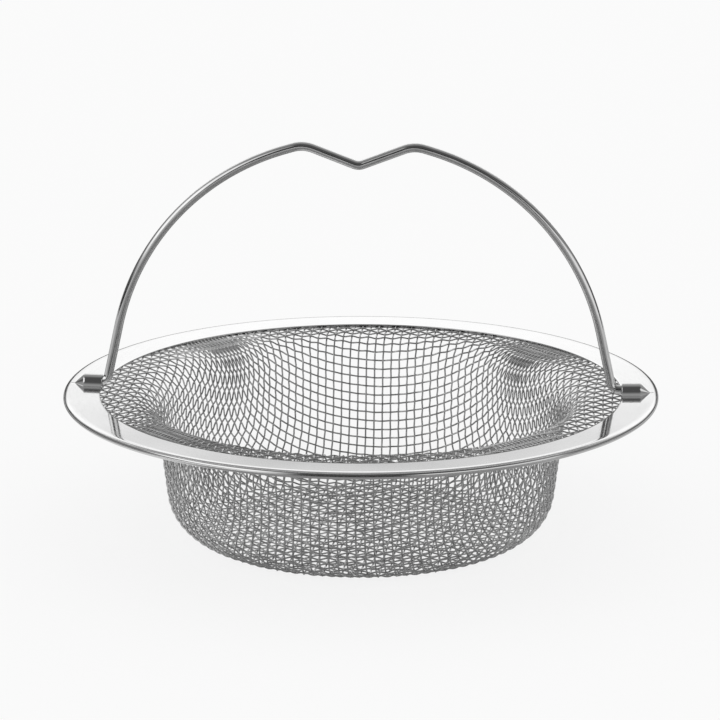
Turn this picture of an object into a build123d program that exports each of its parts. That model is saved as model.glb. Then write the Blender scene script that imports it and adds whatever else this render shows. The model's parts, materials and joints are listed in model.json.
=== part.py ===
from build123d import *
import math
import os

# A sink strainer: a bowl drawn from woven wire cloth, held at its edge in a folded
# sheet ring, with a wire handle that pivots in two beads pressed into the ring.
# Lengths are millimetres and angles are degrees. The origin is the middle of the
# floor's underside, +Z is up, and the handle pivots about a line along X.

# Rim ring
rim_radius = 57.0            # outside of the fold
rim_top_width = 7.0          # upper leaf, from the outside of the fold to its inner edge
rim_under_width = 5.5        # lower leaf, measured the same way
sheet = 0.25

# Woven cloth
cloth_wire = 0.32
cloth = 2 * cloth_wire       # two wires thick, where one crosses another
cloth_edge_gap = 0.3         # from the cloth's cut edge to where the fold starts to curve

# Bowl, on its outer surface
basket_depth = 28.3          # from the rim's top face to the floor's underside
floor_inset = 28.5           # from the outside of the rim to the flat part of the floor
corner_radius = 9.0
wall_lean = 7.0              # each wall leans out from upright by this angle
shoulder_radius = 6.0        # underside of the bend from the wall to the flange

# Grid of openings, coarser than the real cloth's, with bars between them
openings_across = 12         # over the flat floor, each way
openings_around = 24         # round the corner, the wall, the shoulder and the flange
corner_rows = 2
wall_rows = 3
shoulder_rows = 2
bar_share = 0.2              # of the way from one opening to the next, taken up by the bar

# Handle wire, with its insets measured from the rim's inner edge, inside which it folds flat
handle_wire = 1.7
leg_inset = 1.4              # to where the leg's line meets the pin's line
leg_bend = 1.5
arch_corner_inset = 9.77     # sideways, to the corner that the arch rounds off
arch_corner_drop = 11.28     # the same corner, on the way up
arch_bend_share = 0.886      # of the run from that corner to a peak's, taken up by the arch's bend
peak_inset = 2.45            # to the corner that each peak rounds off
peak_spacing = 21.0          # between the corners of the two peaks
peak_radius = 6.1
notch_depth = 4.02           # from the peaks' corners down to the notch's corner
notch_radius = 2.5

# Pressed beads that hold the handle's pins
bead_length = 3.5            # from the rim's inner edge to where the nose begins
bead_nose = 1.95             # length of the tapered nose
bead_foot = 0.3              # height and width of the slope where the bead meets the leaf
pin_clearance = 0.08         # between the pin and the bead all round, and the cloth under it
pin_side_play = 0.6          # from each pin's end to its nose, with the handle central
play_taken_share = 0.75      # the handle rests this far along its play, towards -X

overrun = 1.0                # how far a cutting shape runs past the face it cuts

# Places worked out from the sizes above
rim_top = basket_depth
hem_height = 2 * sheet + cloth
rim_bottom = rim_top - hem_height
fold_radius = hem_height / 2
fold_centre = rim_radius - fold_radius
fold_middle = rim_top - fold_radius
rim_inner = rim_radius - rim_top_width
under_inner = rim_radius - rim_under_width
flange_top = rim_top - sheet
flange_under = flange_top - cloth
cloth_edge = fold_centre - cloth_edge_gap
floor_radius = rim_radius - floor_inset
tunnel_radius = handle_wire / 2 + pin_clearance
pin_height = flange_top + tunnel_radius
nose_start = rim_inner + bead_length
nose_tip = nose_start + bead_nose
wall_spread = math.tan(math.radians(wall_lean))
bend_spread = math.tan(math.radians((90 - wall_lean) / 2))
corner_reach = corner_radius * bend_spread
shoulder_reach = shoulder_radius * bend_spread
wall_foot = floor_radius + corner_reach
wall_head = wall_foot + flange_under * wall_spread
flange_start = wall_head + shoulder_reach


def ring_from(outline):
    """Turns a closed outline, in radius and height, once round Z. Its seam is away from the beads."""
    return revolve(Plane.YZ * make_face(outline), axis=Axis.Z)


def folded_ring():
    """The ring before its beads are pressed: two flat leaves joined by a round fold."""
    start = (rim_inner, rim_top)
    fold_from = (fold_centre, rim_top)
    fold_to = (fold_centre, rim_bottom)
    inside_from = (fold_centre, flange_under)
    inside_to = (fold_centre, flange_top)
    outline = Curve() + [
        Line(start, fold_from),
        ThreePointArc(fold_from, (rim_radius, fold_middle), fold_to),
        Polyline(fold_to, (under_inner, rim_bottom), (under_inner, flange_under), inside_from),
        ThreePointArc(inside_from, (rim_radius - sheet, fold_middle), inside_to),
        Polyline(inside_to, (rim_inner, flange_top), start),
    ]
    return ring_from(outline)


def bead_section(radius, foot, base, depth):
    """An arch over the pin, across X: round top, upright sides, feet that slope out to the base."""
    foot_width = radius + foot
    spring = base + foot
    bottom = base - depth
    left_side = [(-foot_width, bottom), (-foot_width, base), (-radius, spring), (-radius, pin_height)]
    right_side = [(-y, z) for y, z in reversed(left_side)]
    outline = Curve() + [
        Polyline(left_side),
        ThreePointArc((-radius, pin_height), (0, pin_height + radius), (radius, pin_height)),
        Polyline(right_side),
        Line((foot_width, bottom), (-foot_width, bottom)),
    ]
    return make_face(outline)


def bead_form(section, base):
    """A section run outwards from inside the ring to the nose, and drawn in to the nose's tip."""
    start = rim_inner - overrun
    body = extrude(Plane.YZ.offset(start) * section, amount=nose_start - start)
    nose = loft([Plane.YZ.offset(nose_start) * section, Vertex(nose_tip, 0, base)], ruled=True)
    return body + nose


def rim_ring():
    """The folded ring with a hollow bead pressed up at each end of the X axis."""
    bead = bead_form(bead_section(tunnel_radius + sheet, bead_foot, rim_top, sheet / 2), rim_top)
    tunnel_foot = bead_foot + sheet
    tunnel = bead_form(bead_section(tunnel_radius, tunnel_foot, flange_top, cloth / 2), flange_top)
    mouth_height = hem_height + 2 * tunnel_radius + overrun
    mouth = extrude(Circle(rim_inner), amount=mouth_height)
    bead -= Pos(0, 0, rim_bottom) * Rot(0, 0, 90) * mouth
    beads = [bead, mirror(bead, Plane.YZ)]
    tunnels = [tunnel, mirror(tunnel, Plane.YZ)]
    return folded_ring() + beads - tunnels


def basket_shell():
    """The drawn cloth as a closed shell: floor, round corner, leaning wall, shoulder and flange."""
    along_wall = cloth / math.cos(math.radians(wall_lean))
    inner_foot = wall_foot - along_wall
    outside = FilletPolyline(
        (0, 0),
        (wall_foot, 0),
        (wall_head, flange_under),
        (cloth_edge, flange_under),
        radius=[corner_radius, shoulder_radius],
    )
    inside = FilletPolyline(
        (0, cloth),
        (inner_foot + cloth * wall_spread, cloth),
        (inner_foot + flange_top * wall_spread, flange_top),
        (cloth_edge, flange_top),
        radius=[corner_radius - cloth, shoulder_radius + cloth],
    )
    edge = Line((cloth_edge, flange_under), (cloth_edge, flange_top))
    middle = Line((0, cloth), (0, 0))
    return ring_from(Curve() + [outside, edge, inside, middle])


def between_bars(start, end, count):
    """Splits a run into equal openings with a bar between them and half a bar at each end."""
    step = (end - start) / count
    bar = step * bar_share
    return [(start + k * step + bar / 2, start + (k + 1) * step - bar / 2) for k in range(count)]


def round_cuts(outline):
    """A ring of cutters from a closed outline, in radius and height, with a bar between each two."""
    face = Plane.XZ * make_face(Polyline(*outline, close=True))
    cuts = []
    for start, end in between_bars(0, 360, openings_around):
        cuts.append(Rot(0, 0, start) * revolve(face, axis=Axis.Z, revolution_arc=end - start))
    return cuts


def floor_cuts():
    """Square cutters through the flat floor, where they fit inside its edge."""
    spans = between_bars(-floor_radius, floor_radius, openings_across)
    cuts = []
    for left, right in spans:
        for front, back in spans:
            if math.hypot(max(-left, right), max(-front, back)) < floor_radius:
                middle = Pos((left + right) / 2, (front + back) / 2, cloth / 2)
                cuts.append(middle * Box(right - left, back - front, cloth + 2 * overrun))
    return cuts


def bend_cuts(centre, side, inner_radius, rows):
    """Cutters square to a round bend, in rows from its level end up or down to the wall.

    The side is 1 for a bend that curves round above its level end, and -1 for one below it.
    """
    near = side * (inner_radius - overrun)
    far = side * (inner_radius + cloth + overrun)
    cuts = []
    for low, high in between_bars(0, 90 - wall_lean, rows):
        ends = [(near, low), (far, low), (far, high), (near, high)]
        turns = [(reach, math.radians(turn)) for reach, turn in ends]
        outline = [(centre[0] + r * math.sin(t), centre[1] - r * math.cos(t)) for r, t in turns]
        cuts += round_cuts(outline)
    return cuts


def corner_cuts():
    """Cutters through the round corner, from the floor up to the wall."""
    return bend_cuts((floor_radius, corner_radius), 1, corner_radius - cloth, corner_rows)


def wall_cuts():
    """Cutters square to the leaning wall, in rows from the corner up to the shoulder."""
    lean = math.radians(wall_lean)
    wall_length = flange_under / math.cos(lean)
    inwards = -cloth - overrun
    cuts = []
    for low, high in between_bars(corner_reach, wall_length - shoulder_reach, wall_rows):
        ends = [(low, inwards), (low, overrun), (high, overrun), (high, inwards)]
        outline = [
            (wall_foot + up * math.sin(lean) + out * math.cos(lean), up * math.cos(lean) - out * math.sin(lean))
            for up, out in ends
        ]
        cuts += round_cuts(outline)
    return cuts


def shoulder_cuts():
    """Cutters through the shoulder, from the flange down to the wall."""
    return bend_cuts((flange_start, flange_under - shoulder_radius), -1, shoulder_radius, shoulder_rows)


def flange_cuts():
    """Cutters through the flange, from the shoulder out to the rim."""
    near, far = between_bars(flange_start, rim_inner, 1)[0]
    low = flange_under - overrun
    high = flange_top + overrun
    return round_cuts([(near, low), (far, low), (far, high), (near, high)])


def mesh_basket():
    """The drawn cloth, opened by a plain grid that stands for its much finer weave."""
    cuts = floor_cuts() + corner_cuts() + wall_cuts() + shoulder_cuts() + flange_cuts()
    return basket_shell() - cuts


def bend_radius(before, corner, after, reach):
    """The radius of a bend that starts and ends at this reach from its corner."""
    turn = (Vector(*corner) - Vector(*before)).get_angle(Vector(*after) - Vector(*corner))
    return reach / math.tan(math.radians(turn / 2))


def wire_handle():
    """One wire: a pin and a leg at each end, and an arch with a finger notch between two peaks."""
    pin_end = nose_start - pin_side_play
    leg_foot = rim_inner - leg_inset
    arch_corner = (rim_inner - arch_corner_inset, rim_top + rim_inner - arch_corner_drop)
    peak_height = rim_top + rim_inner - peak_inset
    peak = (peak_spacing / 2, peak_height)
    half = [(pin_end, pin_height), (leg_foot, pin_height), arch_corner, peak]
    other_half = [(-x, z) for x, z in reversed(half)]
    arch_reach = arch_bend_share * math.dist(arch_corner, peak)
    half_bends = [leg_bend, bend_radius(*half[1:], arch_reach), peak_radius]
    bends = half_bends + [notch_radius] + half_bends[::-1]
    corners = half + [(0, peak_height - notch_depth)] + other_half
    line = Plane.XZ * FilletPolyline(*corners, radius=bends)
    end = Plane(origin=(pin_end, 0, pin_height), z_dir=(-1, 0, 0))
    wire = sweep(end * Circle(handle_wire / 2), path=line)
    return Pos(-pin_side_play * play_taken_share, 0, 0) * wire


os.makedirs("parts", exist_ok=True)
export_step(rim_ring(), "parts/rim_ring.step")
export_step(mesh_basket(), "parts/mesh_basket.step")
export_step(wire_handle(), "parts/wire_handle.step")
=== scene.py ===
import json
import math

import bmesh
import bpy
import numpy as np
from bpy.props import FloatProperty, FloatVectorProperty, IntProperty, PointerProperty
from bpy.types import Operator, Panel, PropertyGroup
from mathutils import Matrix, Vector


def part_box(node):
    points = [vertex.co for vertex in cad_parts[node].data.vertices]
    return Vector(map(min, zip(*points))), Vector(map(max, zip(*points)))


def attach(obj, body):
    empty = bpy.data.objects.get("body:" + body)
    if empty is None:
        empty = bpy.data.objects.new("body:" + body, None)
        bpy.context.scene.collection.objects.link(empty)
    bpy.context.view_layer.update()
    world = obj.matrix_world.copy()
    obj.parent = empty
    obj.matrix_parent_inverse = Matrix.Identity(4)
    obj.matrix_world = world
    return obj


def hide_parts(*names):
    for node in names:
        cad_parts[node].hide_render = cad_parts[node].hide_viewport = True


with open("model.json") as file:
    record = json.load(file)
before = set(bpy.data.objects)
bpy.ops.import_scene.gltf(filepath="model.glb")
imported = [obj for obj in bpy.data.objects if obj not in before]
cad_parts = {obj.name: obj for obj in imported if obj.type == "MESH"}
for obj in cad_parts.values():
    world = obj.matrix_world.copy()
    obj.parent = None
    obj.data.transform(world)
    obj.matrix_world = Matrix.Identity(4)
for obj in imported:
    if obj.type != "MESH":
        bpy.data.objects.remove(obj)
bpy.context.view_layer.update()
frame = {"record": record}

# A sink strainer: a bowl of woven wire cloth in a folded sheet rim, with a wire handle
# that pivots in two beads of the rim. Lengths are metres and angles are radians.
# The origin is the middle of the bowl floor's underside, +Z is up, and the handle
# pivots about a line along X.

bl_info = {
    "name": "Sink Strainer",
    "version": (1, 0, 0),
    "blender": (4, 5, 0),
    "location": "3D View > Sidebar > Strainer",
    "description": "Makes a sink strainer of woven wire cloth with a folded rim and a wire handle",
    "category": "Add Mesh",
}

MM = 0.001
TINY = 1e-12
RIM_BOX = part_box("rim_ring")
CLOTH_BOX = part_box("mesh_basket")
SLOTS = {entry["slot"]: entry for entry in frame["record"]["materials"]}


# Settings

def length(name, description, millimetres):
    """A length that a user can change, given here in millimetres."""
    return FloatProperty(
        name=name, description=description, default=millimetres * MM,
        subtype="DISTANCE", unit="LENGTH", precision=5,
    )


def angle(name, description, degrees):
    """An angle that a user can change, given here in degrees."""
    return FloatProperty(
        name=name, description=description, default=math.radians(degrees), subtype="ANGLE", unit="ROTATION"
    )


def number(name, description, value):
    """A plain number that a user can change."""
    return FloatProperty(name=name, description=description, default=value, precision=4)


def share(name, description, value):
    """A share from 0 to 1 that a user can change."""
    return FloatProperty(name=name, description=description, default=value, min=0, max=1, subtype="FACTOR")


def count(name, description, value):
    """A whole number that a user can change."""
    return IntProperty(name=name, description=description, default=value, min=1)


def colour(name, description, slot):
    """A colour that a user can change, which starts as the record's colour for a slot."""
    return FloatVectorProperty(
        name=name, description=description, default=SLOTS[slot]["base_color"], min=0, max=1, subtype="COLOR"
    )


class RimSizes(PropertyGroup):
    radius: length("Radius", "Outside of the fold", RIM_BOX[1].x / MM)
    top_width: length("Upper leaf", "From the outside of the fold to the upper leaf's inner edge", 7.0)
    under_width: length("Lower leaf", "From the outside of the fold to the lower leaf's inner edge", 5.5)
    sheet: length("Sheet", "Thickness of the sheet", 0.25)
    dish: angle("Dish", "How steeply the upper leaf rises outwards", 1.4)
    crown_inset: length("Crown inset", "From the fold's outside to the corner that the crown rounds off", 0.5)
    crown_slope: angle("Crown slope", "How steeply the sheet falls from the crown to the fold", 35.0)
    crown_radius: length("Crown radius", "Bend of the crown", 1.1)
    bottom: length("Underside", "Height of the rim's underside", RIM_BOX[0].z / MM)


class BeadSizes(PropertyGroup):
    length: length("Length", "From the rim's inner edge to where the nose begins", 3.5)
    nose: length("Nose", "Length of the tapered nose", 1.95)
    foot: length("Foot", "Radius of the hollow where the bead meets the leaf", 1.5)
    clearance: length("Clearance", "Between the handle's pin and the bead", 0.08)
    reach: length("Reach", "Half the width of rim that a bead's mesh takes up", 3.0)


class ClothSizes(PropertyGroup):
    wire: length("Wire", "Diameter of the cloth's wires", 0.32)
    pitch: length("Wall pitch", "From wire to wire before the wall was drawn", 1.683)
    floor_pitch: length("Floor pitch", "From wire to wire on the floor", 1.736)
    stretch: share("Stretch", "How much longer a wire is that runs straight up the wall", 0.058)
    turn: angle("Turn", "How far the cloth is turned in the rim", -1.54)
    left_shift: share("Sideways shift", "The middle's place between two lengthwise wires, in pitches", 0.515)
    back_shift: share("Backward shift", "The middle's place between two crosswise wires, in pitches", 0.411)
    nearest: length("Nearest", "How near neighbouring wires lie where the cloth can't close further", 0.85)
    floor_radius: length("Floor radius", "Flat part of the bowl's floor", 28.5)
    corner_radius: length("Corner radius", "Bend from the floor to the wall, outside", 9.0)
    lean: angle("Wall lean", "How far the wall leans outwards", 7.0)
    shoulder_radius: length("Shoulder radius", "Bend from the wall to the flange, underside", 6.0)
    edge: length("Cut edge", "Radius of the cloth's cut edge, inside the rim's fold", CLOTH_BOX[1].x / MM)
    top: length("Top", "Height of the flange's upper side", CLOTH_BOX[1].z / MM)
    sides: count("Sides", "Faces round each wire", 8)
    steps: count("Steps", "Faces along each wire from one crossing to the next", 4)


class HandleSizes(PropertyGroup):
    wire: length("Wire", "Diameter of the handle's wire", 1.7)
    pin_play: length("Pin play", "From each pin's end to its bead's nose, with the handle central", 0.6)
    play_taken: share("Play taken", "How far along its play the handle rests, towards -X", 0.75)
    leg_inset: length("Leg inset", "From the rim's inner edge to the foot of a leg", 1.4)
    leg_bend: length("Leg bend", "Bend from the pin to the leg", 1.5)
    arch_corner_inset: length("Arch corner inset", "Sideways to the corner that the arch rounds off", 9.77)
    arch_corner_drop: length("Arch corner drop", "Down to the corner that the arch rounds off", 11.28)
    arch_bend: share("Arch bend", "Share of the run to the peak that the arch's bend takes up", 0.886)
    peak_inset: length("Peak inset", "Down to the corner that each peak rounds off", 2.45)
    peak_spacing: length("Peak spacing", "Between the corners of the two peaks", 21.0)
    peak_radius: length("Peak radius", "Bend of each peak", 6.1)
    notch_depth: length("Notch depth", "From the peaks' corners down to the notch's corner", 4.02)
    notch_radius: length("Notch radius", "Bend of the finger notch", 2.5)
    end_chamfer: length("End chamfer", "Rounding of the wire's cut ends", 0.15)
    sides: count("Sides", "Faces round the wire", 32)


class Finishes(PropertyGroup):
    rim: colour("Rim", "Colour of the polished sheet", "rim_sheet")
    cloth: colour("Cloth", "Colour of the cloth's wires", "wire_cloth")
    handle: colour("Handle", "Colour of the handle's wire", "handle_wire")
    rim_roughness: share("Rim roughness", "How dull the polished sheet is", 0.07)
    cloth_roughness: share("Cloth roughness", "How dull the cloth's wires are", 0.24)
    handle_roughness: share("Handle roughness", "How dull the handle's wire is", 0.1)


class StudioSettings(PropertyGroup):
    distance: length("Distance", "From the camera to the middle of the rim", 650.0)
    lens: number("Lens", "Focal length in millimetres for a 36 mm wide sensor", 169.1)
    azimuth: angle("Azimuth", "How far the camera stands to the right of the front", 3.8)
    elevation: angle("Elevation", "How high the camera looks down from", 15.37)
    aim_up: length("Aim up", "How far above the rim's middle the camera aims", 5.48)
    aim_right: length("Aim right", "How far to the right of the rim's middle the camera aims", -0.17)
    floor_size: length("Floor", "Width of the floor", 6000.0)
    light: number("Light", "Strength of the soft light from all round", 1.0)
    floor_near: number("Floor near", "How bright polished metal shows the floor round it", 0.28)
    floor_right: number("Floor right", "How much brighter it shows the floor close by at the right", 0.3)
    floor_left: number("Floor left", "How bright it shows the floor close by at the left", 0.7)
    floor_far: number("Floor far", "How bright it shows the floor further away", 0.6)
    room_behind: number("Room behind", "How bright it shows the room behind the object", 0.33)
    room_before: number("Room before", "How bright it shows the room behind the camera", 0.08)
    backdrop: number("Backdrop", "Strength of the lit backdrop, straight behind the object", 1.2)
    left_light: number("Left light", "Strength of the wide light at the left", 1.2)
    right_light: number("Right light", "Strength of the low light at the right", 0.85)


class StrainerSettings(PropertyGroup):
    rim: PointerProperty(type=RimSizes)
    bead: PointerProperty(type=BeadSizes)
    cloth: PointerProperty(type=ClothSizes)
    handle: PointerProperty(type=HandleSizes)
    finish: PointerProperty(type=Finishes)
    studio: PointerProperty(type=StudioSettings)


# Helpers for meshes, lines and nodes

def new_object(name, points, edges=(), faces=()):
    """An object at the origin, made from points and what joins them."""
    mesh = bpy.data.meshes.new(name)
    mesh.from_pydata(points, edges, faces)
    obj = bpy.data.objects.new(name, mesh)
    bpy.context.scene.collection.objects.link(obj)
    return obj


def new_attribute(obj, name, kind, values):
    """Gives each point of a mesh a value under this name."""
    attribute = obj.data.attributes.new(name, kind, "POINT")
    field = "vector" if kind == "FLOAT_VECTOR" else "value"
    attribute.data.foreach_set(field, np.ravel(values).astype(np.float32))


def rounded(corners, radii, step):
    """A flat line through corners, each inner one rounded to its radius by points about a step apart."""
    corners = [np.array(corner, float) for corner in corners]
    line = [corners[0]]
    for before, corner, after, radius in zip(corners, corners[1:], corners[2:], radii):
        into = (corner - before) / np.linalg.norm(corner - before)
        out = (after - corner) / np.linalg.norm(after - corner)
        turn = math.acos(into @ out)
        start = corner - into * radius * math.tan(turn / 2)
        side = (out - into * (into @ out)) / math.sin(turn)
        for bend in np.linspace(0, turn, math.ceil(radius * turn / step) + 2):
            line.append(start + radius * (math.sin(bend) * into + (1 - math.cos(bend)) * side))
    line.append(corners[-1])
    return np.array(line)


def add(tree, kind, inputs=None, **settings):
    """A node with these settings, whose inputs get a value or a link from another node's output."""
    node = tree.nodes.new(kind)
    for name, value in settings.items():
        setattr(node, name, value)
    for name, value in (inputs or {}).items():
        if isinstance(value, bpy.types.NodeSocket):
            tree.links.new(value, node.inputs[name])
        else:
            node.inputs[name].default_value = value
    return node


def maths(tree, operation, *values):
    """The result of a sum on numbers or other nodes' outputs."""
    return add(tree, "ShaderNodeMath", dict(enumerate(values)), operation=operation).outputs[0]


def graded(tree, value, low, high, at_low, at_high):
    """A value that runs smoothly from one level to another as another goes from low to high."""
    inputs = {"Value": value, "From Min": low, "From Max": high, "To Min": at_low, "To Max": at_high}
    return add(tree, "ShaderNodeMapRange", inputs, interpolation_type="SMOOTHSTEP").outputs["Result"]


def noise(tree, place, scale, detail=2.0):
    """Smooth random grey levels at a place."""
    inputs = {"Vector": place, "Scale": scale, "Detail": detail}
    return add(tree, "ShaderNodeTexNoise", inputs).outputs["Fac"]


def wire_tree():
    """A node tree that runs round wire along lines, bent to and fro where the lines' points say so."""
    tree = bpy.data.node_groups.new("Round Wire", "GeometryNodeTree")
    socket = tree.interface.new_socket
    socket("Lines", in_out="INPUT", socket_type="NodeSocketGeometry")
    for name, kind in (
        ("Radius", "Float"),
        ("Crimp", "Float"),
        ("Sides", "Int"),
        ("Steps", "Int"),
        ("Material", "Material"),
    ):
        socket(name, in_out="INPUT", socket_type=f"NodeSocket{kind}")
    socket("Wire", in_out="OUTPUT", socket_type="NodeSocketGeometry")
    given = add(tree, "NodeGroupInput").outputs
    outward = add(tree, "GeometryNodeInputNamedAttribute", {"Name": "outward"}, data_type="FLOAT_VECTOR")
    lift = add(tree, "GeometryNodeInputNamedAttribute", {"Name": "lift"}, data_type="FLOAT")
    thickness = add(tree, "GeometryNodeInputNamedAttribute", {"Name": "thickness"}, data_type="FLOAT")
    bend = maths(tree, "MULTIPLY", lift.outputs["Attribute"], given["Crimp"])
    inputs = {0: outward.outputs["Attribute"], "Scale": bend}
    shift = add(tree, "ShaderNodeVectorMath", inputs, operation="SCALE")
    curve = add(tree, "GeometryNodeMeshToCurve", {"Mesh": given["Lines"]}).outputs[0]
    curve = add(tree, "GeometryNodeSetPosition", {"Geometry": curve, "Offset": shift.outputs[0]}).outputs[0]
    curve = add(tree, "GeometryNodeCurveSplineType", {"Curve": curve}, spline_type="CATMULL_ROM").outputs[0]
    inputs = {"Geometry": curve, "Resolution": given["Steps"]}
    curve = add(tree, "GeometryNodeSetSplineResolution", inputs).outputs[0]
    along = add(tree, "GeometryNodeSplineParameter").outputs["Length"]
    inputs = {"Geometry": curve, "Name": "along", "Value": along}
    curve = add(tree, "GeometryNodeStoreNamedAttribute", inputs, data_type="FLOAT", domain="POINT").outputs[0]
    inputs = {"Resolution": given["Sides"], "Radius": given["Radius"]}
    circle = add(tree, "GeometryNodeCurvePrimitiveCircle", inputs).outputs["Curve"]
    inputs = {"Geometry": circle, "Name": "round", "Value": add(tree, "GeometryNodeInputPosition").outputs[0]}
    circle = add(
        tree, "GeometryNodeStoreNamedAttribute", inputs, data_type="FLOAT_VECTOR", domain="POINT"
    ).outputs[0]
    inputs = {
        "Curve": curve,
        "Profile Curve": circle,
        "Scale": thickness.outputs["Attribute"],
        "Fill Caps": True,
    }
    wire = add(tree, "GeometryNodeCurveToMesh", inputs).outputs[0]
    wire = add(tree, "GeometryNodeSetShadeSmooth", {"Geometry": wire}).outputs[0]
    wire = add(tree, "GeometryNodeRealizeInstances", {"Geometry": wire}).outputs[0]
    wire = add(tree, "GeometryNodeSetMaterial", {"Geometry": wire, "Material": given["Material"]}).outputs[0]
    add(tree, "NodeGroupOutput", {"Wire": wire})
    return tree


def run_wire(obj, outward, lift, thickness, tree, **values):
    """Makes round wire along an object's lines, as a plain mesh."""
    new_attribute(obj, "outward", "FLOAT_VECTOR", outward)
    new_attribute(obj, "lift", "FLOAT", lift)
    new_attribute(obj, "thickness", "FLOAT", thickness)
    modifier = obj.modifiers.new("Round Wire", "NODES")
    modifier.node_group = tree
    for item in tree.interface.items_tree:
        if item.in_out == "INPUT" and item.name in values:
            modifier[item.identifier] = values[item.name]
    graph = bpy.context.evaluated_depsgraph_get()
    lines = obj.data
    obj.data = bpy.data.meshes.new_from_object(obj.evaluated_get(graph))
    obj.modifiers.clear()
    bpy.data.meshes.remove(lines)


# Materials

def new_material(name):
    """A material with a metal shader, and its node tree."""
    material = bpy.data.materials.new(name)
    material.use_nodes = True
    tree = material.node_tree
    shader = tree.nodes["Principled BSDF"]
    shader.inputs["Metallic"].default_value = 1.0
    return material, tree, shader


def tinted(tree, colour, darker, amount):
    """The colour, made darker by a share where the amount is high."""
    dark = [level * (1 - darker) for level in colour]
    node = add(tree, "ShaderNodeMix", {"Factor": amount}, data_type="RGBA")
    node.inputs["A"].default_value = (*colour, 1)
    node.inputs["B"].default_value = (*dark, 1)
    return node.outputs["Result"]


def polished_sheet(finish):
    """Mirror-polished sheet, with faint polishing lines round the rim and a slight waviness."""
    material, tree, shader = new_material("polished_sheet")
    across_lines, along_lines, line_scale = 6.0, 0.02, 1200.0
    cloud_scale, wave_scale = 130.0, 45.0
    line_depth, wave_depth = 0.01 * MM, 0.2 * MM
    place = add(tree, "ShaderNodeTexCoord").outputs["Object"]
    split = add(tree, "ShaderNodeSeparateXYZ", {"Vector": place}).outputs
    flat = add(tree, "ShaderNodeCombineXYZ", {"X": split["X"], "Y": split["Y"]}).outputs[0]
    radius = add(tree, "ShaderNodeVectorMath", {0: flat}, operation="LENGTH").outputs["Value"]
    direction = add(tree, "ShaderNodeVectorMath", {0: flat}, operation="NORMALIZE").outputs["Vector"]
    inputs = {0: direction, "Scale": along_lines}
    turned = add(tree, "ShaderNodeVectorMath", inputs, operation="SCALE").outputs["Vector"]
    turned = add(tree, "ShaderNodeSeparateXYZ", {"Vector": turned}).outputs
    inputs = {"X": maths(tree, "MULTIPLY", radius, across_lines), "Y": turned["X"], "Z": turned["Y"]}
    round_the_rim = add(tree, "ShaderNodeCombineXYZ", inputs).outputs[0]
    lines = noise(tree, round_the_rim, line_scale, detail=3.0)
    clouds = noise(tree, place, cloud_scale)
    waves = noise(tree, place, wave_scale, detail=1.0)
    tree.links.new(tinted(tree, finish.rim, 0.08, clouds), shader.inputs["Base Color"])
    rough = finish.rim_roughness
    tree.links.new(graded(tree, lines, 0.3, 0.7, rough * 0.6, rough * 1.5), shader.inputs["Roughness"])
    bump = add(tree, "ShaderNodeBump", {"Height": lines, "Strength": 0.05, "Distance": line_depth})
    inputs = {"Height": waves, "Strength": 0.2, "Distance": wave_depth, "Normal": bump.outputs[0]}
    bump = add(tree, "ShaderNodeBump", inputs)
    tree.links.new(bump.outputs[0], shader.inputs["Normal"])
    return material


def drawn_wire(name, colour, roughness, radius, darker):
    """Drawn steel wire: fine streaks along it, in which it is duller, and darker in patches."""
    material, tree, shader = new_material(name)
    along_scale, streak_scale, cloud_scale = 0.06 / radius, 5.0, 300.0
    streak_depth = radius * 0.05
    along = add(tree, "ShaderNodeAttribute", attribute_name="along").outputs["Fac"]
    around = add(tree, "ShaderNodeAttribute", attribute_name="round").outputs["Vector"]
    inputs = {0: around, "Scale": 1 / radius}
    around = add(tree, "ShaderNodeVectorMath", inputs, operation="SCALE").outputs["Vector"]
    around = add(tree, "ShaderNodeSeparateXYZ", {"Vector": around}).outputs
    inputs = {"X": around["X"], "Y": around["Y"], "Z": maths(tree, "MULTIPLY", along, along_scale)}
    along_the_wire = add(tree, "ShaderNodeCombineXYZ", inputs).outputs[0]
    streaks = noise(tree, along_the_wire, streak_scale, detail=4.0)
    place = add(tree, "ShaderNodeTexCoord").outputs["Object"]
    clouds = noise(tree, place, cloud_scale)
    dark = graded(tree, maths(tree, "MULTIPLY", streaks, clouds), 0.15, 0.4, 0.0, 1.0)
    tree.links.new(tinted(tree, colour, darker, dark), shader.inputs["Base Color"])
    rough = graded(tree, streaks, 0.3, 0.7, roughness * 0.7, roughness * 1.4)
    tree.links.new(rough, shader.inputs["Roughness"])
    bump = add(tree, "ShaderNodeBump", {"Height": streaks, "Strength": 0.12, "Distance": streak_depth})
    tree.links.new(bump.outputs[0], shader.inputs["Normal"])
    return material


# Rim

# Shares of the way across half a bead at which its round top and its hollow foot end
BEAD_TOP_END = 0.5
BEAD_FOOT_END = 0.8

# Points round the lip of each leaf, where its sheet ends
LIP_STEPS = 9


def bead_section(t, scale, width, radius, foot, base, centre):
    """Half of a bead's section: sideways place and height, as t goes from its top out to flat sheet.

    The round top and the hollow foot that it runs into each take their share of t. The scale
    shrinks the section towards the leaf, and the width is where the mesh is plain rim again.
    """
    join = math.acos((base + foot - centre) / (radius + foot))
    bend = join * np.clip(t / BEAD_TOP_END, 0, 1)
    hollow = join * np.clip((BEAD_FOOT_END - t) / (BEAD_FOOT_END - BEAD_TOP_END), 0, 1)
    on_top = t < BEAD_TOP_END
    out = np.where(on_top, radius * np.sin(bend), (radius + foot) * math.sin(join) - foot * np.sin(hollow))
    height = np.where(on_top, centre + radius * np.cos(bend), base + foot * (1 - np.cos(hollow)))
    flat = np.clip((t - BEAD_FOOT_END) / (1 - BEAD_FOOT_END), 0, 1)
    least = 0.02
    out = out * np.maximum(scale, least)
    return out + flat * (width - out), base + scale * (height - base)


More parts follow.
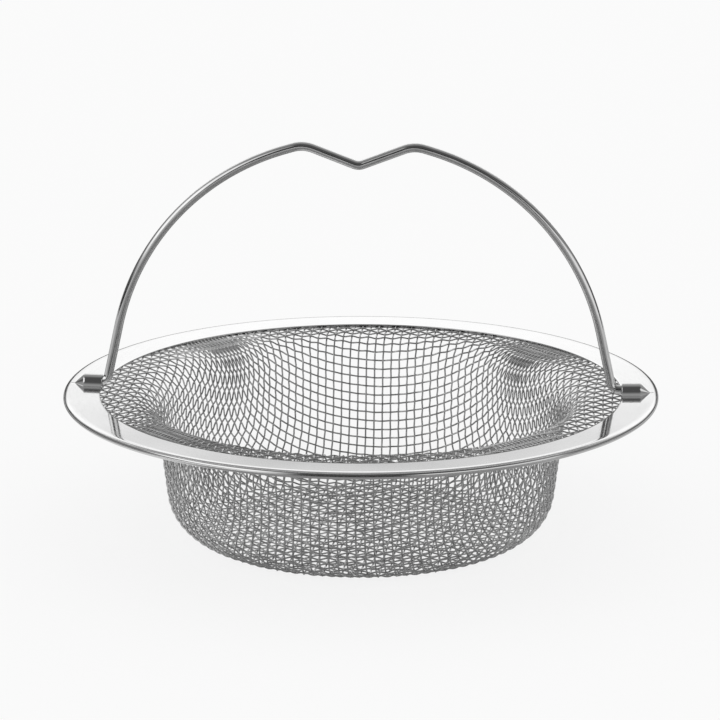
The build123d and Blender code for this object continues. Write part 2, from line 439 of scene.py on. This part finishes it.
def rim_outline(rim, top):
    """The sheet's outside from the crown round the fold to the lower leaf's lip, and its inside back."""
    step = 0.1 * MM
    inner = rim.radius - rim.top_width
    crown = rim.radius - rim.crown_inset
    crown_top = top + (crown - inner) * math.tan(rim.dish)
    knee = crown_top - rim.crown_inset * math.tan(rim.crown_slope)
    fold = (knee - rim.bottom) / (1 + math.tan(math.pi / 4 - rim.crown_slope / 2))
    lip = rim.radius - rim.under_width + rim.sheet / 2
    upper = [(inner, top), (crown, crown_top)]
    lower = [(rim.radius, knee), (rim.radius, rim.bottom), (lip, rim.bottom)]
    outer = rounded(upper + lower, [rim.crown_radius, fold, fold], step)
    run = np.gradient(outer, axis=0)
    run /= np.linalg.norm(run, axis=1, keepdims=True)
    within = outer + rim.sheet * run @ np.array([[0, -1], [1, 0]])
    turns = np.linspace(0, np.pi, LIP_STEPS)[1:-1, None]
    middle = np.array([lip, rim.bottom + rim.sheet / 2])
    end = middle - rim.sheet / 2 * np.concatenate([np.sin(turns), np.cos(turns)], 1)
    return np.concatenate([outer[1:], end, within[:0:-1]])


def rim_mesh(rim, bead, handle, cloth):
    """Points and faces of the folded sheet, with a bead pressed up at each end of the X axis."""
    top = cloth.top + rim.sheet
    inner = rim.radius - rim.top_width
    tunnel = handle.wire / 2 + bead.clearance
    centre = cloth.top + tunnel
    nose_start = inner + bead.length
    nose_tip = nose_start + bead.nose

    # Rows of the upper leaf, which follow the beads: each row's radius, and its depth into the
    # sheet, which is 0 on top and 1 underneath.
    leaf_rows, nose_rows = 12, 18
    half = rim.sheet / 2
    along_leaf = np.linspace(inner + half, nose_start, leaf_rows)
    radii = np.concatenate([along_leaf, np.linspace(nose_start, nose_tip, nose_rows)[1:]])
    turns = np.linspace(0, np.pi, LIP_STEPS)[1:-1]
    leaf = [(r, 0.0) for r in radii] + [(r, 1.0) for r in radii[::-1]]
    leaf += [(inner + half - half * math.sin(b), (1 + math.cos(b)) / 2) for b in turns]
    outline = rim_outline(rim, top)

    # Columns round the ring: which bead is nearer, and the angle from it.
    top_columns, foot_columns, flat_columns, plain_columns = 15, 12, 5, 90
    bead_half = math.asin(bead.reach / inner)
    over_top = np.linspace(0, BEAD_TOP_END, top_columns)
    over_foot = np.linspace(BEAD_TOP_END, BEAD_FOOT_END, foot_columns)[1:]
    over_flat = np.linspace(BEAD_FOOT_END, 1, flat_columns)[1:]
    near = np.concatenate([over_top, over_foot, over_flat]) * bead_half
    quarter = np.concatenate([near, np.linspace(bead_half, np.pi / 2, plain_columns)[1:]])
    columns = [(1, a) for a in quarter] + [(-1, a) for a in quarter[-2::-1]]
    columns += [(-1, -a) for a in quarter[1:]] + [(1, -a) for a in quarter[-2:0:-1]]
    side = np.array([c[0] for c in columns])
    turn = np.array([c[1] for c in columns])
    t = np.abs(turn) / bead_half
    near_t = np.minimum(t, 1)

    def ring(r, out, height, evened=0.0):
        """One row's points, from how far sideways of the nearer bead's middle they lie.

        The columns are spread evenly by a share from 0 to 1 where the row has no bead.
        """
        even = r * np.sin(np.abs(turn))
        out = np.where(t < 1, out + evened * (even - out), even)
        return np.stack([side * np.sqrt(r * r - out * out), np.sign(turn) * out, height + 0 * out], -1)

    rows = []
    for r, depth in leaf:
        width = r * math.sin(bead_half)
        scale = np.clip((nose_tip - r) / bead.nose, 0, 1)
        above = bead_section(near_t, scale, width, tunnel + rim.sheet, bead.foot, top, centre)
        below = bead_section(near_t, scale, width, tunnel, bead.foot + rim.sheet, cloth.top, centre)
        out, height = [(1 - depth) * a + depth * b for a, b in zip(above, below)]
        rows.append(ring(r, out, height + (r - inner) * math.tan(rim.dish)))
    folded = []
    evening_rows = 8
    for k, (r, height) in enumerate(outline):
        out, _ = bead_section(near_t, 0.0, r * math.sin(bead_half), tunnel, bead.foot, top, centre)
        folded.append(ring(r, out, height, min(1, (k + 1) / evening_rows, (len(outline) - k) / evening_rows)))
    points = np.stack(rows[: len(radii)] + folded + rows[len(radii):])
    n, m = points.shape[:2]
    k, c = np.meshgrid(np.arange(n), np.arange(m), indexing="ij")
    down, on = (k + 1) % n, (c + 1) % m
    faces = np.stack([k * m + c, down * m + c, down * m + on, k * m + on], -1)
    return points.reshape(-1, 3), faces.reshape(-1, 4).tolist()


class STRAINER_OT_rim(Operator):
    """Make the folded rim with the two beads that hold the handle's pins"""

    bl_idname = "strainer.make_rim"
    bl_label = "Make Rim"

    def execute(self, context):
        sizes = context.scene.strainer
        points, faces = rim_mesh(sizes.rim, sizes.bead, sizes.handle, sizes.cloth)
        obj = new_object("rim_sheet", points, faces=faces)
        mesh = bmesh.new()
        mesh.from_mesh(obj.data)
        bmesh.ops.recalc_face_normals(mesh, faces=mesh.faces)
        mesh.to_mesh(obj.data)
        mesh.free()
        obj.data.shade_smooth()
        obj.data.materials.append(polished_sheet(sizes.finish))
        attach(obj, "strainer")
        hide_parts("rim_ring")
        return {"FINISHED"}


# Cloth

class Bowl:
    """The cloth's middle surface. A flat place lies as far from the origin as along the surface."""

    def __init__(self, cloth):
        step = 0.05 * MM
        spare = 40 * MM
        low = cloth.wire
        high = cloth.top - cloth.wire
        wall = math.pi / 2 - cloth.lean
        outer_foot = cloth.floor_radius + cloth.corner_radius * math.tan(wall / 2)
        foot = outer_foot - cloth.wire / math.cos(cloth.lean) + low * math.tan(cloth.lean)
        head = foot + (high - low) * math.tan(cloth.lean)
        corners = [(0, low), (foot, low), (head, high), (cloth.edge + spare, high)]
        radii = [cloth.corner_radius - cloth.wire, cloth.shoulder_radius + cloth.wire]
        line = rounded(corners, radii, step)
        along = np.concatenate([[0], np.cumsum(np.linalg.norm(np.diff(line, axis=0), axis=1))])
        self.along = np.arange(0, along[-1], step)
        self.radius = np.interp(self.along, along, line[:, 0])
        self.height = np.interp(self.along, along, line[:, 1])
        self.out = np.gradient(self.radius, self.along)
        self.up = np.gradient(self.height, self.along)
        self.edge = np.interp(cloth.edge, self.radius, self.along)

    def read(self, flat, *curves):
        """How far flat places are from the middle, their directions, and these curves' values there."""
        away = np.linalg.norm(flat, axis=-1)
        heading = flat / np.maximum(away, TINY)[..., None]
        return away, heading, *[np.interp(away, self.along, curve) for curve in curves]

    def place(self, flat):
        """Where flat places lie on the bowl."""
        _, heading, radius, height = self.read(flat, self.radius, self.height)
        return np.concatenate([heading * radius[..., None], height[..., None]], -1)

    def rise(self, flat):
        """The direction up the bowl at flat places."""
        _, heading, out, up = self.read(flat, self.out, self.up)
        return np.concatenate([heading * out[..., None], up[..., None]], -1)

    def normal(self, flat):
        """The direction square to the bowl, towards its inside, at flat places."""
        _, heading, out, up = self.read(flat, self.out, self.up)
        return np.concatenate([-heading * up[..., None], out[..., None]], -1)


def drawn_pitch(cloth, away, up_share):
    """The length of wire from crossing to crossing, which grows as a wire runs up the drawn wall."""
    start, run = 28 * MM, 16 * MM
    drawn = np.clip((away - start) / run, 0, 1)
    plain = cloth.floor_pitch + (cloth.pitch - cloth.floor_pitch) * drawn
    return plain * (1 + cloth.stretch * drawn * up_share)


def lay_net(bowl, cloth, size):
    """Flat places of the crossings in one quarter of the cloth, laid outwards from its two middle wires.

    Each crossing is found from its two inner neighbours by the lengths of wire between them.
    """
    rounds = 10
    small = 1e-4 * cloth.pitch
    longest_step = 0.3 * cloth.pitch
    least_spread = 0.03
    axis = [0.0]
    for _ in range(size):
        axis.append(axis[-1] + float(drawn_pitch(cloth, axis[-1], 1.0)))
    net = np.zeros((size + 1, size + 1, 2))
    net[:, 0, 0] = axis
    net[0, :, 1] = axis
    for row in range(2, 2 * size + 1):
        i = np.arange(max(1, row - size), min(size, row - 1) + 1)
        j = row - i
        first, second = net[i - 1, j], net[i, j - 1]
        neighbours = [bowl.place(first), bowl.place(second)]
        flat = first + second - net[i - 1, j - 1]

        def excess(flat):
            """How much too long the wires to both neighbours are."""
            place, rise = bowl.place(flat), bowl.rise(flat)
            away = np.linalg.norm(flat, axis=-1)
            found = []
            for neighbour in neighbours:
                wire = place - neighbour
                run = np.linalg.norm(wire, axis=1)
                up_share = (wire * rise).sum(1) ** 2 / run**2
                found.append(run / drawn_pitch(cloth, away, up_share) - 1)
            return np.stack(found, 1) * cloth.pitch

        for _ in range(rounds):
            now = excess(flat)
            by_x = (excess(flat + [small, 0]) - now) / small
            by_y = (excess(flat + [0, small]) - now) / small
            spread = by_x[:, 0] * by_y[:, 1] - by_y[:, 0] * by_x[:, 1]
            least = np.where(spread < 0, -least_spread, least_spread)
            spread = np.where(np.abs(spread) < least_spread, least, spread)
            step_x = (now[:, 0] * by_y[:, 1] - now[:, 1] * by_y[:, 0]) / spread
            step_y = (now[:, 1] * by_x[:, 0] - now[:, 0] * by_x[:, 1]) / spread
            step = np.stack([step_x, step_y], 1)
            size_of_step = np.linalg.norm(step, axis=1, keepdims=True)
            flat = flat - step * np.minimum(1, longest_step / np.maximum(size_of_step, TINY))
        net[i, j] = flat
    return net


def ease_net(bowl, cloth, net):
    """The net with its crossings pushed apart where the cloth can't close further.

    The wires keep their lengths as well as they can. The motion is damped until it settles.
    """
    rounds, step, kept_speed = 1200, 0.45, 0.98
    shortest, longest = 0.6 * cloth.pitch, 2.4 * cloth.pitch
    net = net.copy()
    place = bowl.place(net)
    rest_i = np.linalg.norm(np.diff(place, axis=0), axis=-1)
    rest_j = np.linalg.norm(np.diff(place, axis=1), axis=-1)
    size = net.shape[0] - 1
    i, j = np.meshgrid(np.arange(size + 1), np.arange(size + 1), indexing="ij")
    corner_left_out = 1.5
    live = np.hypot(i, j) <= size - corner_left_out
    hold_i = (live[1:] & live[:-1]).astype(float)
    hold_j = (live[:, 1:] & live[:, :-1]).astype(float)
    hold_cell = (live[1:, :-1] & live[:-1, 1:] & live[1:, 1:]).astype(float)
    rest_i = np.where(hold_i > 0, rest_i, cloth.pitch)
    rest_j = np.where(hold_j > 0, rest_j, cloth.pitch)
    hold_i[:, 0] *= 0.5
    hold_j[0] *= 0.5
    mass = np.ones((size + 1, size + 1))
    mass[0] *= 0.5
    mass[:, 0] *= 0.5
    ties = [(hold_i, rest_i, np.s_[1:], np.s_[:-1]), (hold_j, rest_j, np.s_[:, 1:], np.s_[:, :-1])]
    speed = np.zeros_like(net)
    for _ in range(rounds):
        away, heading, radius, height, out, up = bowl.read(net, bowl.radius, bowl.height, bowl.out, bowl.up)
        heading[0, 0] = (1, 0)
        place = np.concatenate([heading * radius[..., None], height[..., None]], -1)
        force = np.zeros_like(place)

        for hold, rest, far, near in ties:
            wire = place[far] - place[near]
            pull = (hold * (1 - rest / np.linalg.norm(wire, axis=-1)))[..., None] * wire
            force[near] += pull
            force[far] -= pull

        short_way = place[:-1, 1:] - place[1:, :-1]
        short = np.linalg.norm(short_way, axis=-1)
        long = np.linalg.norm(place[1:, 1:] - place[:-1, :-1], axis=-1)
        long = np.clip(long, shortest, longest)
        least = 2 * cloth.nearest * np.sqrt(rest_i[:, 1:] * rest_j[1:]) / long
        push = (hold_cell * np.minimum(0, 1 - least / np.maximum(short, TINY)))[..., None] * short_way
        force[1:, :-1] += push
        force[:-1, 1:] -= push

        up_force = (force[..., :2] * heading).sum(-1) * out + force[..., 2] * up
        round_force = force[..., 1] * heading[..., 0] - force[..., 0] * heading[..., 1]
        round_force *= np.where(radius > TINY, away / np.maximum(radius, TINY), 1)
        turned = np.stack([-heading[..., 1], heading[..., 0]], -1)
        flat_force = up_force[..., None] * heading + round_force[..., None] * turned
        flat_force /= mass[..., None]
        flat_force[0, :, 0] = 0
        flat_force[:, 0, 1] = 0
        speed = kept_speed * speed + step * flat_force * live[..., None]
        if (speed * flat_force).sum() < 0:
            speed *= 0
        net = net + step * speed
    return net


def woven_wires(bowl, cloth):
    """Every wire of the cloth: for each way, a list of flat crossings and which of them lift.

    A quarter of the net is laid, mirrored to all four, and moved by the shares of a pitch.
    """
    size = 47
    quarter = ease_net(bowl, cloth, lay_net(bowl, cloth, size))
    places = np.arange(-size, size + 1)
    whole = quarter[np.abs(places)[:, None], np.abs(places)[None, :]]
    whole = whole * np.stack(np.meshgrid(np.sign(places), np.sign(places), indexing="ij"), -1)
    a, b = cloth.left_shift, cloth.back_shift
    between = (1 - a) * whole[:-1] + a * whole[1:]
    between = (1 - b) * between[:, :-1] + b * between[:, 1:]
    cos, sin = math.cos(cloth.turn), math.sin(cloth.turn)
    flat = between @ np.array([[cos, sin], [-sin, cos]])
    n = flat.shape[0]
    i, j = np.meshgrid(np.arange(n), np.arange(n), indexing="ij")
    lift = np.where((i + j) % 2 == 0, 1.0, -1.0)
    ways = []
    for places, over in ((flat, lift), (flat.transpose(1, 0, 2), -lift.T)):
        ways.append([cut_wire(line, signs, bowl.edge) for line, signs in zip(places, over)])
    return [[wire for wire in way if wire is not None] for way in ways]


def cut_wire(line, signs, edge):
    """The part of a wire inside the cloth's cut edge, ended where it crosses it, or None if it is short."""
    fewest = 4
    away = np.linalg.norm(line, axis=1)
    inside = np.flatnonzero(away < edge)
    if len(inside) < fewest:
        return None
    first, last = inside[0], inside[-1]
    ends = []
    for near, far in ((first, first - 1), (last, last + 1)):
        if far < 0 or far >= len(line):
            raise ValueError("the net is too small for the cloth")
        part = (edge - away[near]) / (away[far] - away[near])
        mixed = [values[near] + part * (values[far] - values[near]) for values in (line, signs)]
        ends.append(mixed)
    kept = slice(first, last + 1)
    flat = np.concatenate([[ends[0][0]], line[kept], [ends[1][0]]])
    return flat, np.concatenate([[ends[0][1]], signs[kept], [ends[1][1]]])


class STRAINER_OT_cloth(Operator):
    """Make the woven cloth of the bowl, wire by wire"""

    bl_idname = "strainer.make_cloth"
    bl_label = "Make Cloth"

    def execute(self, context):
        sizes = context.scene.strainer
        cloth, finish = sizes.cloth, sizes.finish
        bowl = Bowl(cloth)
        material = drawn_wire("cloth_wire", finish.cloth, finish.cloth_roughness, cloth.wire / 2, 0.25)
        tree = wire_tree()
        names = (("lengthwise", ("left", "middle", "right")), ("crosswise", ("front", "middle", "back")))
        for wires, (way, parts) in zip(woven_wires(bowl, cloth), names):
            groups = np.array_split(np.arange(len(wires)), len(parts))
            for part, group in zip(parts, groups):
                self.make_wires(f"cloth_{way}_{part}", [wires[k] for k in group], bowl, cloth, tree, material)
        bpy.data.node_groups.remove(tree)
        return {"FINISHED"}

    def make_wires(self, name, wires, bowl, cloth, tree, material):
        """One group of neighbouring wires as an object."""
        flat = np.concatenate([wire[0] for wire in wires])
        lift = np.concatenate([wire[1] for wire in wires])
        starts = np.cumsum([0] + [len(wire[0]) for wire in wires])
        edges = [(k, k + 1) for a, b in zip(starts, starts[1:]) for k in range(a, b - 1)]
        obj = new_object(name, bowl.place(flat), edges=edges)
        radius = cloth.wire / 2
        run_wire(
            obj, bowl.normal(flat), lift, np.ones(len(flat)), tree,
            Radius=radius, Crimp=radius, Sides=cloth.sides, Steps=cloth.steps, Material=material,
        )
        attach(obj, "strainer")
        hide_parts("mesh_basket")


# Handle

def handle_line(rim, bead, handle, cloth):
    """The middle of the handle's wire from pin to pin, and how thick the wire is there."""
    step = 0.25 * MM
    rounding_steps = 5
    top = cloth.top + rim.sheet
    inner = rim.radius - rim.top_width
    pin_height = cloth.top + handle.wire / 2 + bead.clearance
    pin_end = inner + bead.length - handle.pin_play
    corner = (inner - handle.arch_corner_inset, top + inner - handle.arch_corner_drop)
    peak_height = top + inner - handle.peak_inset
    peak = (handle.peak_spacing / 2, peak_height)
    foot = (inner - handle.leg_inset, pin_height)
    half = [(pin_end, pin_height), foot, corner, peak]
    before = np.subtract(corner, foot)
    after = np.subtract(peak, corner)
    cosine = before @ after / np.linalg.norm(before) / np.linalg.norm(after)
    arch_radius = handle.arch_bend * np.linalg.norm(after) / math.tan(math.acos(cosine) / 2)
    bends = [handle.leg_bend, arch_radius, handle.peak_radius]
    corners = half + [(0, peak_height - handle.notch_depth)] + [(-x, z) for x, z in half[::-1]]
    line = rounded(corners, bends + [handle.notch_radius] + bends[::-1], step)
    along = np.concatenate([[0], np.cumsum(np.linalg.norm(np.diff(line, axis=0), axis=1))])
    chamfer = handle.end_chamfer
    rounding = chamfer * (1 - np.cos(np.linspace(0, np.pi / 2, rounding_steps)))
    stops = np.unique(np.concatenate([along, rounding, along[-1] - rounding]))
    x = np.interp(stops, along, line[:, 0]) - handle.pin_play * handle.play_taken
    z = np.interp(stops, along, line[:, 1])
    inset = np.clip(1 - np.minimum(stops, along[-1] - stops) / chamfer, 0, 1)
    thickness = 1 - chamfer * (1 - np.sqrt(1 - inset**2)) / (handle.wire / 2)
    return np.stack([x, np.zeros_like(x), z], -1), thickness


class STRAINER_OT_handle(Operator):
    """Make the bent wire handle"""

    bl_idname = "strainer.make_handle"
    bl_label = "Make Handle"

    def execute(self, context):
        sizes = context.scene.strainer
        handle, finish = sizes.handle, sizes.finish
        line, thickness = handle_line(sizes.rim, sizes.bead, handle, sizes.cloth)
        radius = handle.wire / 2
        material = drawn_wire("handle_wire_steel", finish.handle, finish.handle_roughness, radius, 0.1)
        obj = new_object("handle_bow", line, edges=[(k, k + 1) for k in range(len(line) - 1)])
        tree = wire_tree()
        still = np.zeros(len(line))
        run_wire(
            obj, np.zeros((len(line), 3)), still, thickness, tree,
            Radius=radius, Crimp=0.0, Sides=handle.sides, Steps=1, Material=material,
        )
        bpy.data.node_groups.remove(tree)
        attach(obj, "handle")
        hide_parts("wire_handle")
        return {"FINISHED"}


# Studio

def degrees(*values):
    """These angles in radians."""
    return [math.radians(value) for value in values]


def band(tree, value, low, high, edge):
    """From 0 to 1 and back, for a value that passes through a band with soft edges."""
    into = graded(tree, value, low - edge, low + edge, 0.0, 1.0)
    out = graded(tree, value, high - edge, high + edge, 1.0, 0.0)
    return maths(tree, "MULTIPLY", into, out)


def mixed_shader(tree, share_of_second, first, second):
    """Two shaders in one, by the share of the second."""
    inputs = {"Fac": share_of_second, 1: first.outputs[0], 2: second.outputs[0]}
    return add(tree, "ShaderNodeMixShader", inputs)


def heading(tree, direction, studio):
    """How far a direction turns to the right of the one towards the camera, from -pi to pi."""
    facing = (math.sin(studio.azimuth), -math.cos(studio.azimuth), 0)
    right = (math.cos(studio.azimuth), math.sin(studio.azimuth), 0)
    towards, sideways = [
        add(tree, "ShaderNodeVectorMath", {0: direction, 1: way}, operation="DOT_PRODUCT").outputs["Value"]
        for way in (facing, right)
    ]
    return maths(tree, "ARCTAN2", sideways, towards), towards


def floor_material(studio):
    """White floor that keeps a soft shadow, and looks darker in polished metal near the object."""
    # A side is two headings and the softness of both. The rest are metres from the middle.
    right_side, left_side = degrees(60, 140, 20), degrees(-150, -45, 15)
    far_from, far_to = 0.25, 0.6
    left_from, left_to = 0.11, 0.15
    shadow_share = 0.2
    pale = (0.8, 0.8, 0.8, 1)
    material = bpy.data.materials.new("studio_floor")
    material.use_nodes = True
    tree = material.node_tree
    tree.nodes.clear()
    path = add(tree, "ShaderNodeLightPath").outputs
    seen = maths(tree, "MAXIMUM", path["Is Camera Ray"], path["Is Glossy Ray"])
    seen = maths(tree, "MAXIMUM", seen, path["Is Transmission Ray"])
    place = add(tree, "ShaderNodeTexCoord").outputs["Object"]
    away = add(tree, "ShaderNodeVectorMath", {0: place}, operation="LENGTH").outputs["Value"]
    turned, _ = heading(tree, place, studio)
    at_right = band(tree, turned, *right_side)
    near = maths(tree, "MULTIPLY_ADD", at_right, studio.floor_right, studio.floor_near)
    mirrored = graded(tree, away, far_from, far_to, near, studio.floor_far)
    at_left = band(tree, turned, *left_side)
    close_by = graded(tree, away, left_from, left_to, studio.floor_left, 0.0)
    mirrored = maths(tree, "MAXIMUM", mirrored, maths(tree, "MULTIPLY", at_left, close_by))
    level = maths(tree, "MAXIMUM", mirrored, path["Is Camera Ray"])
    white = add(tree, "ShaderNodeEmission", {"Strength": level})
    matt = add(tree, "ShaderNodeBsdfDiffuse", {"Color": pale})
    shaded = mixed_shader(tree, shadow_share, white, matt)
    chosen = mixed_shader(tree, path["Is Camera Ray"], white, shaded)
    chosen = mixed_shader(tree, seen, matt, chosen)
    add(tree, "ShaderNodeOutputMaterial", {"Surface": chosen.outputs[0]})
    return material


def lit_patch(tree, turned, elevation, sides, heights, edge, strength):
    """A light between two headings and two elevations, all in degrees as its soft edge is."""
    across = band(tree, turned, *degrees(*sides, edge))
    upright = band(tree, elevation, *degrees(*heights, edge))
    return maths(tree, "MULTIPLY", maths(tree, "MULTIPLY", across, upright), strength)


def studio_world(studio):
    """White surroundings. Polished metal shows a dim room, a lit backdrop and a light at each side."""
    # A foot or head of the backdrop is two heights of a direction of length 1.
    horizon_share, zenith_from = 0.15, 0.5
    behind, before = -0.3, 0.6
    backdrop_sides = degrees(125, 155)
    backdrop_foot, backdrop_head = (0.18, 0.285), (0.47, 0.77)
    left_sides, left_heights, left_edge = (-94, -32), (-30, 46), 13
    left_slope, left_foot = 0.35, degrees(-20, -5)
    right_sides, right_heights, right_edge = (20, 82), (-30, 23), 8
    white = (1, 1, 1, 1)
    world = bpy.data.worlds.new("studio")
    world.use_nodes = True
    tree = world.node_tree
    tree.nodes.clear()
    path = add(tree, "ShaderNodeLightPath").outputs
    direction = add(tree, "ShaderNodeTexCoord").outputs["Generated"]
    height = add(tree, "ShaderNodeSeparateXYZ", {"Vector": direction}).outputs["Z"]
    turned, towards = heading(tree, direction, studio)
    elevation = maths(tree, "ARCSINE", height)
    mixed = graded(tree, towards, behind, before, studio.room_behind, studio.room_before)
    mixed = maths(tree, "MULTIPLY", mixed, graded(tree, height, 0.0, zenith_from, horizon_share, 1.0))
    backdrop = graded(tree, maths(tree, "ABSOLUTE", turned), *backdrop_sides, 0.0, 1.0)
    backdrop = maths(tree, "MULTIPLY", backdrop, graded(tree, height, *backdrop_foot, 0.0, studio.backdrop))
    backdrop = maths(tree, "MULTIPLY", backdrop, graded(tree, height, *backdrop_head, 1.0, 0.0))
    left = lit_patch(tree, turned, elevation, left_sides, left_heights, left_edge, studio.left_light)
    skewed = maths(tree, "MULTIPLY_ADD", turned, left_slope, elevation)
    left = maths(tree, "MULTIPLY", left, graded(tree, skewed, *left_foot, 0.0, 1.0))
    right = lit_patch(tree, turned, elevation, right_sides, right_heights, right_edge, studio.right_light)
    for light in (backdrop, left, right):
        mixed = maths(tree, "MAXIMUM", mixed, light)
    shown = add(tree, "ShaderNodeBackground", {"Color": white, "Strength": mixed})
    seen = add(tree, "ShaderNodeBackground", {"Color": white, "Strength": 1.0})
    soft = add(tree, "ShaderNodeBackground", {"Color": white, "Strength": studio.light})
    mirrored = maths(tree, "MAXIMUM", path["Is Glossy Ray"], path["Is Transmission Ray"])
    lit = mixed_shader(tree, mirrored, soft, shown)
    chosen = mixed_shader(tree, path["Is Camera Ray"], lit, seen)
    add(tree, "ShaderNodeOutputWorld", {"Surface": chosen.outputs[0]})
    world.cycles.sampling_method = "NONE"
    return world


def add_camera(studio, middle):
    """The camera at the photograph's viewing angle, aimed a little above the rim's middle."""
    a, e = studio.azimuth, studio.elevation
    back = Vector((math.sin(a) * math.cos(e), -math.cos(a) * math.cos(e), math.sin(e)))
    right = Vector((math.cos(a), math.sin(a), 0))
    up = back.cross(right)
    data = bpy.data.cameras.new("camera")
    data.lens = studio.lens
    data.sensor_width = 36
    camera = bpy.data.objects.new("camera", data)
    bpy.context.scene.collection.objects.link(camera)
    camera.location = middle + back * studio.distance
    target = middle + up * studio.aim_up + right * studio.aim_right
    camera.rotation_euler = (target - camera.location).to_track_quat("-Z", "Y").to_euler()
    bpy.context.scene.camera = camera


class STRAINER_OT_studio(Operator):
    """Make the floor, the light and the camera"""

    bl_idname = "strainer.make_studio"
    bl_label = "Make Studio"

    def execute(self, context):
        sizes = context.scene.strainer
        studio = sizes.studio
        half = studio.floor_size / 2
        corners = [(-half, -half, 0), (half, -half, 0), (half, half, 0), (-half, half, 0)]
        floor = new_object("floor", corners, faces=[(0, 1, 2, 3)])
        floor.data.materials.append(floor_material(studio))
        context.scene.world = studio_world(studio)
        context.scene.view_settings.view_transform = "Standard"
        add_camera(studio, Vector((0, 0, RIM_BOX[0].z + 2 * sizes.rim.sheet + 2 * sizes.cloth.wire)))
        return {"FINISHED"}


class STRAINER_PT_panel(Panel):
    """Makes the strainer's pieces and shows their sizes"""

    bl_idname = "STRAINER_PT_panel"
    bl_label = "Sink Strainer"
    bl_space_type = "VIEW_3D"
    bl_region_type = "UI"
    bl_category = "Strainer"

    def draw(self, context):
        settings = context.scene.strainer
        groups = (
            ("strainer.make_rim", (settings.rim, settings.bead)),
            ("strainer.make_cloth", (settings.cloth,)),
            ("strainer.make_handle", (settings.handle,)),
            ("strainer.make_studio", (settings.studio, settings.finish)),
        )
        for operator, sizes in groups:
            box = self.layout.box()
            box.operator(operator)
            for group in sizes:
                for name in group.bl_rna.properties.keys():
                    if name not in {"rna_type", "name"}:
                        box.prop(group, name)


CLASSES = (
    RimSizes,
    BeadSizes,
    ClothSizes,
    HandleSizes,
    Finishes,
    StudioSettings,
    StrainerSettings,
    STRAINER_OT_rim,
    STRAINER_OT_cloth,
    STRAINER_OT_handle,
    STRAINER_OT_studio,
    STRAINER_PT_panel,
)


def register():
    """Adds the classes, and the settings to each scene."""
    for cls in CLASSES:
        bpy.utils.register_class(cls)
    bpy.types.Scene.strainer = PointerProperty(type=StrainerSettings)


def unregister():
    """Takes the settings and the classes away."""
    del bpy.types.Scene.strainer
    for cls in reversed(CLASSES):
        bpy.utils.unregister_class(cls)


def main():
    """Makes the whole scene."""
    register()
    bpy.ops.strainer.make_rim()
    bpy.ops.strainer.make_cloth()
    bpy.ops.strainer.make_handle()
    bpy.ops.strainer.make_studio()


if __name__ == "__main__":
    main()
